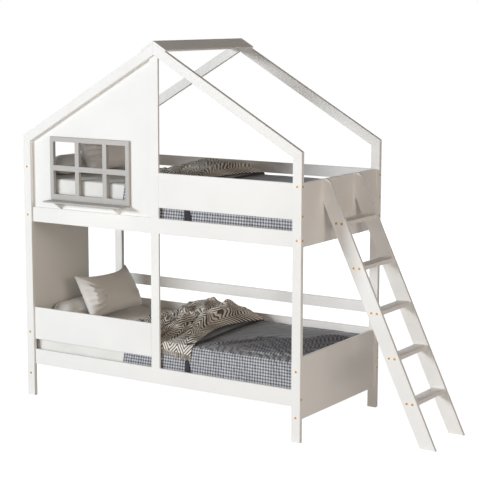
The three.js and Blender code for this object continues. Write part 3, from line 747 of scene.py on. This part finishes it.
class BUNKBED_OT_mattresses(bpy.types.Operator):
    """Makes both mattresses in their fitted sheets"""

    bl_idname = "bunkbed.mattresses"
    bl_label = "Mattresses"

    def execute(self, context):
        cotton = woven_cotton("percale_sheet", context.scene.bunkbed_bedding.sheet, 0.94, 0.1)
        for seed, level in enumerate(LEVELS):
            low, high = span(f"mattress_{level}")
            low, high = low + MATTRESS_INSETS[0], high - MATTRESS_INSETS[1]
            mattress, points = soft_block(
                f"fitted_mattress_{level}", low, high, MATTRESS_EDGE, MATTRESS_CUTS)
            points = tuck_sheet(points, low, high, 10 * seed + 3)
            move_points(mattress, to_scene(points))
            dress(mattress, cotton)
            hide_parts(f"mattress_{level}")
        return {"FINISHED"}


# Bedspreads, their turned-back lining and their creases

COVER_GRID = (200, 168)
COVER_CORNER = 20
# Gaps to the solid's sides and hem, and to the top of the mattress
COVER_SIDE_GAP = 0.8
COVER_HEM_GAP = 0.5
COVER_TOP_GAP = 7.5
COVER_END_GAP = 2
# How far the head edge leans back from hem to top, and how far in from the ends the cloth is calm
COVER_EDGE_LEAN = 40
COVER_CALM = 60
# The pleats down its sides: how far apart, how deep, and how they lean
COVER_PLEATS = 58
COVER_PLEAT_DEPTH = 1.7
COVER_PLEAT_LEAN = 0.7
# A crease's dip: its distance from the ridge and its width, and its depth, as shares of the ridge's
DIP_PLACE, DIP_WIDTH, DIP_DEPTH = 1.9, 1.3, 0.45
# Each crease runs through points on the bed, with its height and half its width
COVER_CREASES = (
    ((1500, 240), (1700, 300), (1900, 420), (2030, 520), 24, 17),
    ((1560, 330), (1740, 380), (1900, 480), (2030, 610), 26, 18),
    ((1640, 200), (1800, 230), (1940, 300), (2030, 360), 21, 15),
    ((1480, 420), (1680, 500), (1860, 620), (2030, 760), 21, 20),
    ((1700, 460), (1820, 560), (1950, 700), (2030, 820), 22, 17),
    ((1600, 120), (1780, 130), (1930, 170), (2030, 230), 18, 16),
    ((1300, 150), (1420, 250), (1520, 420), (1560, 560), 14, 18),
)


def distance_to(points, corners):
    """How far places are to either side of a line through corners, and how far along it, from 0 to 1."""
    best = np.full(len(points), 1e9)
    share = np.zeros(len(points))
    for index in range(len(corners) - 1):
        start, end = np.array(corners[index], float), np.array(corners[index + 1], float)
        leg = end - start
        along = np.clip((points - start) @ leg / (leg @ leg), 0, 1)
        away = points - start - along[:, None] * leg
        side = np.sign(away[:, 0] * leg[1] - away[:, 1] * leg[0])
        gap = np.linalg.norm(away, axis=1)
        nearer = gap < np.abs(best)
        best[nearer] = (gap * side)[nearer]
        share[nearer] = ((index + along) / (len(corners) - 1))[nearer]
    return best, share


def crease_heights(points, creases):
    """Soft folds along the creases: a rounded ridge with a shallow dip beside it."""
    total = np.zeros(len(points))
    for *corners, height, width in creases:
        gap, share = distance_to(points, corners)
        fade = np.sin(math.pi * np.clip(share * 0.94 + 0.03, 0, 1)) ** 0.6
        ridge = np.exp(-((gap / width) ** 2))
        dip = np.exp(-(((gap - DIP_PLACE * width) / (DIP_WIDTH * width)) ** 2))
        total += height * fade * (ridge - DIP_DEPTH * dip)
    return total


class Drape:
    """The line that cloth follows from its front hem, up and over the mattress to its rear hem."""

    def __init__(self, front, rear, hem, top, corner):
        self.front, self.rear, self.hem, self.top, self.corner = front, rear, hem, top, corner
        self.side = top - corner - hem
        self.arc = corner * math.pi / 2
        self.flat = rear - front - 2 * corner
        self.length = 2 * (self.side + self.arc) + self.flat

    def at(self, share):
        """Places y and z and the outward direction at shares of the whole length."""
        run = np.asarray(share) * self.length
        mirrored = run > self.length / 2
        run = np.where(mirrored, self.length - run, run)
        bend = np.clip((run - self.side) / self.arc, 0, 1) * math.pi / 2
        rise = np.minimum(run, self.side)
        inward = np.maximum(run - self.side - self.arc, 0)
        y = self.corner * (1 - np.cos(bend)) + inward
        z = self.hem + rise + self.corner * np.sin(bend)
        out_y = -np.cos(bend)
        y = np.where(mirrored, self.rear - y, self.front + y)
        out_y = np.where(mirrored, -out_y, out_y)
        return y, z, out_y, np.sin(bend)


def cover_drape(level, lift=0.0):
    """The bedspread's line on one bed."""
    low, high = span(f"bedspread_{level}")
    mattress_top = span(f"mattress_{level}")[1].z
    return Drape(low.y + COVER_SIDE_GAP - lift, high.y - COVER_SIDE_GAP + lift, low.z + COVER_HEM_GAP,
                 mattress_top + COVER_TOP_GAP + lift, COVER_CORNER + lift)


def lay_cover(level, seed):
    """The shape of the bedspread as shares along the bed and across it."""
    low, high = span(f"bedspread_{level}")
    drape = cover_drape(level)

    def shape(along, across):
        y, z, out_y, out_z = drape.at(across)
        lean = COVER_EDGE_LEAN * ramp(z, low.z, drape.top)
        left = low.x + COVER_END_GAP + lean * (1 - 0.6 * ramp(y, 200, 700))
        x = left + (high.x - COVER_END_GAP - left) * along
        flat = rows_of(x, y)
        on_top = np.clip(out_z * 2 - 1, 0, 1)
        inland = ramp(x, high.x, high.x - COVER_CALM) * ramp(x, low.x, low.x + COVER_CALM)
        puff = 1.6 * smooth_waves(seed, flat, 330) + 0.8 * smooth_waves(seed + 1, flat, 120)
        puff = (puff + crease_heights(flat, COVER_CREASES)) * inland
        course = x + COVER_PLEAT_LEAN * (drape.top - z) + 14 * smooth_waves(seed + 3, flat, 300)
        pleats = np.clip(smooth_waves(seed + 4, rows_of(x, 0 * x), 500) + 0.7, 0, 1.3)
        side = 0.7 * smooth_waves(seed + 2, rows_of(x, z * 0.3), 150)
        side -= COVER_PLEAT_DEPTH * pleats * (1 + np.sin(course * math.tau / COVER_PLEATS)) * inland
        side *= 1 - on_top
        rise = np.maximum(puff * on_top, -3) + side
        return rows_of(x, y + out_y * side, z + rise * on_top)

    return shape


# The lining's course from the front hem over the bed: distance, place of its edge, and width
LINING_COURSE = np.array((
    (0, 1292, 50), (40, 1284, 42), (100, 1268, 26), (180, 1252, 12), (215, 1268, 40), (243, 1291, 100),
    (406, 1285, 100), (614, 1261, 100), (818, 1243, 100), (1003, 1241, 100), (1400, 1244, 80),
))
LINING_GRID = (30, 200)
LINING_RISE = 13
LINING_SEAT = 2.6
# The share of the lining's width on each side of its roll
LINING_FLAT = 0.4


def lining_edge(run):
    """Where the turned-back lining's edge is, and how wide it is, at distances from the front hem."""
    return [np.interp(run, LINING_COURSE[:, 0], LINING_COURSE[:, column]) for column in (1, 2)]


def lay_lining(level):
    """The bedspread turned back on itself: a flat band that rolls over at its foot edge."""
    drape = cover_drape(level)

    def shape(along, across):
        y, z, out_y, out_z = drape.at(across)
        edge, width = lining_edge(across * drape.length)
        radius = LINING_RISE / 2 * (0.35 + 0.65 * np.clip(out_z, 0, 1))
        turn = ramp(along, LINING_FLAT, 1 - LINING_FLAT) * math.pi
        back = ramp(np.abs(along - 0.5), 0.5 - LINING_FLAT, 0.5)
        x = edge - back * width - radius * (1 - np.sin(turn))
        lift = LINING_SEAT + radius * (1 - np.cos(turn)) * (1 - 0.5 * back)
        lift += 0.8 * smooth_waves(91, rows_of(x, across * 900), 140)
        return rows_of(x, y + out_y * lift, z + out_z * lift)

    return shape


class BUNKBED_OT_bedspreads(bpy.types.Operator):
    """Lays the checked bedspreads and their turned-back charcoal lining"""

    bl_idname = "bunkbed.bedspreads"
    bl_label = "Bedspreads"

    def execute(self, context):
        settings = context.scene.bunkbed_bedding
        low, high = span("bedspread_lower")
        length = cover_drape("lower").length * MM
        width = (high.x - low.x) * MM
        gingham = checked_cotton("yarn_dyed_gingham", (width, length))
        charcoal = charcoal_cotton("charcoal_lining")
        for seed, level in enumerate(LEVELS):
            cover = cloth_grid(f"checked_cover_{level}", *COVER_GRID, lay_cover(level, 30 + 10 * seed))
            thicken(cover, settings.cover_thickness, -1)
            dress(cover, gingham)
            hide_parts(f"bedspread_{level}")
            lining = cloth_grid(f"turned_lining_{level}", *LINING_GRID, lay_lining(level))
            thicken(lining, settings.cover_thickness / 2, 0)
            dress(lining, charcoal)
        return {"FINISHED"}


# Pillows and bolsters

PILLOW_LEAN = math.radians(28)
PILLOW_SIZE = (556, 312)
# Its middle along and across the bed, and how far its lower edge is above the mattress
PILLOW_MIDDLE = (238, 575)
PILLOW_SEAT = 24
# How full it is in front and behind
PILLOW_FRONT = 84
PILLOW_BACK = 40
# Half the gap between its two faces at the seam, and the gap that the seam closes
PILLOW_SEAM = 1.2
PILLOW_CLOSE = 2.8
PILLOW_GRID = (200, 72)
# Creases in its case from the seams, in millimetres from its middle, with height and half width
PILLOW_CREASES = (
    ((-268, 60), (-215, 20), (-150, 6), 19, 9),
    ((-270, 20), (-225, -14), (-160, -22), 21, 9),
    ((-266, -26), (-222, -46), (-150, -50), 21, 10),
    ((-262, -70), (-220, -82), (-160, -74), 17, 9),
    ((-240, 70), (-226, 0), (-228, -90), 10, 12),
    ((-250, 105), (-214, 70), (-186, 50), 6, 9),
    ((-240, -120), (-196, -108), (-150, -112), 6, 9),
    ((252, 118), (214, 92), (178, 84), 6, 10),
    ((262, -60), (222, -52), (184, -60), 5, 10),
    ((90, -148), (76, -118), (80, -92), 4, 9),
)


def pillow_points(across, up):
    """The stuffed case: its edges draw in, its corners stay pointed and it is fullest low down."""
    side = np.where(across < 1, 1, -1)
    u = np.where(side > 0, across, 2 - across) * 2 - 1
    v = up * 2 - 1
    width, height = PILLOW_SIZE[0] / 2, PILLOW_SIZE[1] / 2
    x = u * width * (1 - 0.035 * (1 - v * v) * np.abs(u) ** 4)
    sag = np.where(v > 0, 0.33 * (1 + 0.12 * u), 0.05) * (1 - u * u) ** 0.75
    y = v * height * (1 - sag * np.abs(v) ** 3)
    blunt = np.where(u < 0, 4.6, 3.2)
    crown = np.clip((1 - np.abs(u) ** blunt) * (1 - np.abs(v) ** 2.8), 0, 1) ** 0.55
    depth = crown * np.where(side > 0, PILLOW_FRONT, PILLOW_BACK) * (1 - 0.16 * v)
    flat = rows_of(x, y)
    depth += crown ** 0.5 * crease_heights(flat, PILLOW_CREASES) * (side > 0)
    depth += crown * 1.6 * smooth_waves(17, flat, 170)
    return rows_of(x, y, side * (depth + PILLOW_SEAM))


def stuffed_case(name, level):
    """A pillow leaned on the bolster. The grid runs across its front and back again behind."""
    top = span(f"mattress_{level}")[1].z
    sine, cosine = math.sin(PILLOW_LEAN), math.cos(PILLOW_LEAN)
    axes = np.array(((0, 1, 0), (-sine, 0, cosine), (cosine, 0, sine)))
    rise = PILLOW_SEAT + PILLOW_SIZE[1] / 2 * cosine
    middle = np.array((*PILLOW_MIDDLE, top + rise))

    def shape(along, across):
        points = middle + pillow_points(along * 2, across) @ axes
        points[:, 2] = np.maximum(points[:, 2], top + 0.6)
        return points

    return cloth_grid(name, *PILLOW_GRID, shape)


def close_up(piece, gap):
    """Joins a wrapped sheet's meeting edges, closes it and turns its faces outwards."""
    take(piece)
    bpy.ops.object.mode_set(mode="EDIT")
    bpy.ops.mesh.select_all(action="SELECT")
    bpy.ops.mesh.remove_doubles(threshold=gap)
    bpy.ops.mesh.select_all(action="DESELECT")
    bpy.ops.mesh.select_mode(type="EDGE")
    bpy.ops.mesh.select_non_manifold(extend=False)
    bpy.ops.mesh.edge_face_add()
    bpy.ops.mesh.select_all(action="SELECT")
    bpy.ops.mesh.normals_make_consistent(inside=False)
    bpy.ops.mesh.select_mode(type="VERT")
    bpy.ops.object.mode_set(mode="OBJECT")


class BUNKBED_OT_pillows(bpy.types.Operator):
    """Stuffs the pillows and leans them on the bolsters"""

    bl_idname = "bunkbed.pillows"
    bl_label = "Pillows"

    def execute(self, context):
        cotton = woven_cotton("sateen_pillowcase", context.scene.bunkbed_bedding.pillow, 0.94, 0.15)
        for level in LEVELS:
            pillow = stuffed_case(f"stuffed_pillow_{level}", level)
            close_up(pillow, PILLOW_CLOSE * MM)
            dress(pillow, cotton)
            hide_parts(f"pillow_{level}")
        return {"FINISHED"}


BOLSTER_GRID = (48, 90)
# The gap that its seam closes
BOLSTER_CLOSE = 0.2
# Where its front end is, how long its rounded ends are, and how many gathers each has
BOLSTER_FRONT = 170
BOLSTER_END = 84
BOLSTER_GATHERS = 11
# Its section: 1 is round, and less is squarer
BOLSTER_SQUARE = 0.86


def bolster_shape(level, seed):
    """A round stuffed roll with full round ends, gathered there, and flat where it rests."""
    low, high = span(f"bolster_{level}")
    middle = (low + high) / 2
    half = (high - low) / 2 - Vector((1, 2, 0.5))
    half.y = (high.y - BOLSTER_FRONT) / 2

    def shape(around, along):
        run = (2 * along - 1) * half.y
        from_end = half.y - np.abs(run)
        taper = (1 - (1 - ramp(from_end, 0, BOLSTER_END)) ** 2.2) ** 0.5
        angle = around * math.tau
        ring, rise = (np.sign(part) * np.abs(part) ** BOLSTER_SQUARE
                      for part in (np.cos(angle), np.sin(angle)))
        gathers = 1 - 0.035 * (0.5 + 0.5 * np.sin(angle * BOLSTER_GATHERS + seed)) * ramp(from_end, 90, 0)
        ripple = 1 - 0.012 * (1 + smooth_waves(seed, rows_of(run, angle * 80), 150))
        reach = taper * gathers * ripple
        x = middle.x + ring * reach * half.x
        z = middle.z + rise * reach * half.z - (1 - taper) * half.z * 0.25
        y = high.y - half.y + run
        return rows_of(x, y, np.maximum(z, low.z + 0.5))

    return shape


class BUNKBED_OT_bolsters(bpy.types.Operator):
    """Makes the round bolsters at the heads of the beds"""

    bl_idname = "bunkbed.bolsters"
    bl_label = "Bolsters"

    def execute(self, context):
        cotton = woven_cotton("bolster_cotton", context.scene.bunkbed_bedding.bolster, 0.94, 0.12)
        for seed, level in enumerate(LEVELS):
            bolster = cloth_grid(f"stuffed_bolster_{level}", *BOLSTER_GRID, bolster_shape(level, seed + 5))
            close_up(bolster, BOLSTER_CLOSE * MM)
            dress(bolster, cotton)
            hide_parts(f"bolster_{level}")
        return {"FINISHED"}


# Knitted throws, heaped on the beds and hung over their fronts

THROW_GRID = (156, 132)
# The share of its length that hangs over the front
THROW_HANG_SHARE = 0.07
# How far it hangs down at its head side, and how much further at its foot side
THROW_DROP = 42
THROW_DROP_RISE = 20
# Gaps to the mattress, to the bedspread's front, and to its own solid's ends and rear
THROW_TOP_GAP = 10.3
THROW_FRONT_GAP = 1.6
THROW_END_GAP = 6
THROW_REAR_GAP = 14
# How far apart its long folds and its cross folds are
THROW_FOLD_SPACING = 98
THROW_CROSS_SPACING = 190
# How far in from its sides it is calm
THROW_CALM = 60
# Broad and fine crumples: their height and how far apart they are, and the limits of their sum
THROW_CRUMPLES = ((18, 240), (7, 110))
THROW_CRUMPLE_LIMITS = (-4, 34)
# Insets of the throw's sides from its widest place, from its front edge to its rear, in millimetres
THROW_HEAD_INSETS = (484, 230, 46, 6, 20, 92, 226)
THROW_FOOT_INSETS = (0, 26, 78, 112, 116, 84, 10)
# Height of the folds from the front edge to the rear
THROW_FOLD_HEIGHTS = (6, 30, 40, 42, 38, 14, 10, 18, 10)
# The heap's crest: places along and across the bed, and its height there
THROW_CREST = np.array((
    (560, 690, 6), (660, 705, 28), (760, 725, 60), (882, 725, 104), (978, 725, 128), (1040, 725, 121),
    (1112, 725, 126), (1145, 760, 108), (1160, 800, 80), (1182, 860, 68), (1226, 872, 48), (1300, 880, 14),
))
# How far the heap reaches in front of its crest and behind it
THROW_REACH = (300, 125)
# How high the upper bed's throw is heaped, as a share of the lower one's
THROW_UPPER_SHARE = 0.64
# How far in the fringe starts, and its tassels' spacing, half width and cuts along their length
FRINGE_INSET = 4
TASSEL_SPACING = 15.5
TASSEL_RADIUS = 3.6
TASSEL_CUTS = 3
# Each tassel's own swing along the hem and tilt across it, in radians, and its share of the length
TASSEL_SWING = (-0.16, 0.16)
TASSEL_TILT = (-0.06, 0.02)
TASSEL_LENGTHS = (0.8, 1.12)
# A tassel's width from its knot to its end, as shares of its half width
TASSEL_SPREAD = (0.7, 1.15, 0.8, 1.05, 0.75)


def knots(values, share):
    """A value at a share of the way through evenly spaced ones."""
    return np.interp(np.asarray(share) * (len(values) - 1), np.arange(len(values)), values)


def heap_height(x, y):
    """Height of the bunched throw: a crest along the bed that falls slowly to the front."""
    places, sides, heights = THROW_CREST.T
    crest = np.mean([np.interp(x + step, places, heights) for step in (-14, 0, 14)], axis=0)
    away = y - np.interp(x, places, sides)
    return crest * np.exp(-((away / np.where(away < 0, *THROW_REACH)) ** 2))


def lay_throw(level, seed):
    """The throw: its knotted hem hangs over the front, and the rest lies heaped in long folds."""
    low, high = span(f"throw_{level}")
    cover_top = span(f"mattress_{level}")[1].z + THROW_TOP_GAP
    front = span(f"bedspread_{level}")[0].y - THROW_FRONT_GAP
    rear = high.y - THROW_REAR_GAP
    share = 1 if level == "lower" else THROW_UPPER_SHARE

    def shape(along, across):
        hanging = ramp(across, THROW_HANG_SHARE, 0)
        on_bed = ramp(across, THROW_HANG_SHARE, 1)
        left = low.x + THROW_END_GAP + knots(THROW_HEAD_INSETS, on_bed)
        right = high.x - THROW_END_GAP - knots(THROW_FOOT_INSETS, on_bed) - 12 * hanging
        x = left + (right - left) * along
        y = front + (rear - front) * on_bed
        flat = rows_of(x, y)
        margin = np.clip(np.minimum(x - left, right - x) / THROW_CALM, 0, 1)
        turn = x - 0.1 * (y - 400) + 42 * smooth_waves(seed, flat, 480, 5)
        turn *= math.tau / THROW_FOLD_SPACING
        cross = x + 0.5 * y + 40 * smooth_waves(seed + 5, flat, 500, 5)
        cross *= math.tau / THROW_CROSS_SPACING
        height = knots(THROW_FOLD_HEIGHTS, on_bed) * (0.8 + 0.35 * smooth_waves(seed + 1, flat, 260))
        height *= margin * share
        folds = height * (np.exp(1.3 * (np.cos(turn) - 1)) + 0.35 * np.exp(1.6 * (np.cos(cross) - 1)))
        edge = np.minimum(np.minimum((right - x) / 36, (x - left) / 120), (rear + 4 - y) / 36)
        heap = share * heap_height(x, y) * np.clip(edge, 0, 1) ** 0.55 * ramp(on_bed, 0, 0.1)
        # It steps up over the turned lining, and down onto the sheet at the bedspread's head edge
        lining = lining_edge(y + 163)[0] - 118
        seat = 5 + 15 * ramp(x, lining, lining + 40) * ramp(on_bed, 0, 1 / 12) - 9 * ramp(x, 748, 718)
        ridges = sum(tall * (1 - 1.8 * np.abs(smooth_waves(seed + 2 + index, flat, apart, 9)))
                     for index, (tall, apart) in enumerate(THROW_CRUMPLES))
        crumple = share * np.clip(ridges, *THROW_CRUMPLE_LIMITS) * margin * ramp(on_bed, 0.1, 0.3)
        rise = (seat + heap + folds + crumple - 2) * ramp(on_bed, 0, 1 / 14)
        drop = hanging * (THROW_DROP + THROW_DROP_RISE * along)
        z = cover_top + 2 + np.where(hanging > 0, -drop, rise)
        x = x + 0.38 * height * np.sin(turn) * margin
        bulge = 1.2 * np.sin(x * math.tau / 78) + 5.5 * ramp(x, 1225, 1245)
        return rows_of(x, y - bulge * ramp(hanging, 0, 1 / 3), z)

    return shape


def measure_cloth(piece, columns, rows):
    """Writes each point's distance along its row and its column of cloth to the UV map, as shares of
    the flat size, which it gives in metres. Rows are measured from the foot side."""
    points = points_of(piece).reshape(rows + 1, columns + 1, 3)
    along = np.zeros((rows + 1, columns + 1))
    steps = np.linalg.norm(np.diff(points, axis=1), axis=2)
    along[:, :-1] = np.cumsum(steps[:, ::-1], axis=1)[:, ::-1]
    across = np.zeros((rows + 1, columns + 1))
    across[1:] = np.cumsum(np.linalg.norm(np.diff(points, axis=0), axis=2), axis=0)
    size = (float(along.max()), float(across.max()))
    places = rows_of(along.ravel() / size[0], across.ravel() / size[1])
    corners = np.empty(len(piece.data.loops), dtype=int)
    piece.data.loops.foreach_get("vertex_index", corners)
    piece.data.uv_layers.active.data.foreach_set("uv", places[corners].ravel())
    return size


def tassel(length):
    """One tassel that hangs from the origin: a knot, and a loose bundle of yarn below it."""
    deselect()
    bpy.ops.mesh.primitive_cylinder_add(
        vertices=6, radius=TASSEL_RADIUS * MM, depth=length, location=(0, 0, -length / 2))
    bundle = bpy.context.object
    settle(bundle)
    cut_up(TASSEL_CUTS)
    points = points_of(bundle)
    points[:, :2] *= knots(TASSEL_SPREAD, -points[:, 2] / length)[:, None]
    move_points(bundle, points)
    return bundle


def hang_fringe(name, places, length, seed, wool):
    """Hangs a tassel at every place along the throw's hem, each at its own slight angle."""
    chance = np.random.default_rng(seed)
    moves = []
    for spot in places:
        swing = Matrix.Rotation(chance.uniform(*TASSEL_SWING), 4, "Y")
        tilt = Matrix.Rotation(chance.uniform(*TASSEL_TILT), 4, "X")
        size = Matrix.Diagonal((1, 1, chance.uniform(*TASSEL_LENGTHS), 1))
        moves.append(Matrix.Translation(Vector(spot)) @ swing @ tilt @ size)
    return dress(join_copies(tassel(length), name, moves), wool)


class BUNKBED_OT_throws(bpy.types.Operator):
    """Heaps the knitted throws on the beds and hangs their fringes"""

    bl_idname = "bunkbed.throws"
    bl_label = "Throws"

    def execute(self, context):
        settings = context.scene.bunkbed_bedding
        knit = None
        for seed, level in enumerate(LEVELS):
            throw = cloth_grid(f"knitted_throw_{level}", *THROW_GRID, lay_throw(level, 71 + 9 * seed))
            size = measure_cloth(throw, *THROW_GRID)
            knit = knit or zigzag_knit("zigzag_wool_knit", size)
            hem = points_of(throw)[: THROW_GRID[0] + 1]
            run = np.arange(hem[0, 0] + FRINGE_INSET * MM, hem[-1, 0], TASSEL_SPACING * MM)
            spots = np.stack([np.interp(run, hem[:, 0], hem[:, axis]) for axis in range(3)], axis=1)
            thicken(throw, settings.throw_thickness, 0)
            dress(throw, knit)
            fringe = hang_fringe(f"throw_fringe_{level}", spots, settings.tassel_length, 200 + seed,
                                 woven_cotton(f"fringe_wool_{level}", linear("#dccfbb"), 0.5, 0.3))
            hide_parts(f"throw_{level}")
        return {"FINISHED"}


# The panel and the run

STEPS = ("stage", "frame", "bolts", "mattresses", "bedspreads", "pillows", "bolsters", "throws")


class BUNKBED_PT_parts(bpy.types.Panel):
    """Lists the bed's parts in the sidebar"""

    bl_idname = "BUNKBED_PT_parts"
    bl_label = "Bunk Bed"
    bl_space_type = "VIEW_3D"
    bl_region_type = "UI"
    bl_category = "Bunk Bed"

    def draw(self, context):
        for groups in GROUPS:
            group = getattr(context.scene, groups)
            box = self.layout.box()
            for name in group.__annotations__:
                box.prop(group, name)
        for step in STEPS:
            self.layout.operator(f"bunkbed.{step}")


GROUPS = {
    "bunkbed_stage": BUNKBED_PG_stage,
    "bunkbed_frame": BUNKBED_PG_frame,
    "bunkbed_bedding": BUNKBED_PG_bedding,
}
CLASSES = (
    *GROUPS.values(),
    BUNKBED_OT_stage,
    BUNKBED_OT_frame,
    BUNKBED_OT_bolts,
    BUNKBED_OT_mattresses,
    BUNKBED_OT_bedspreads,
    BUNKBED_OT_pillows,
    BUNKBED_OT_bolsters,
    BUNKBED_OT_throws,
    BUNKBED_PT_parts,
)


def register():
    for made in CLASSES:
        bpy.utils.register_class(made)
    for name, group in GROUPS.items():
        setattr(bpy.types.Scene, name, bpy.props.PointerProperty(type=group))


def unregister():
    for name in GROUPS:
        delattr(bpy.types.Scene, name)
    for made in reversed(CLASSES):
        bpy.utils.unregister_class(made)


def main():
    register()
    for step in STEPS:
        getattr(bpy.ops.bunkbed, step)()


if __name__ == "__main__":
    main()
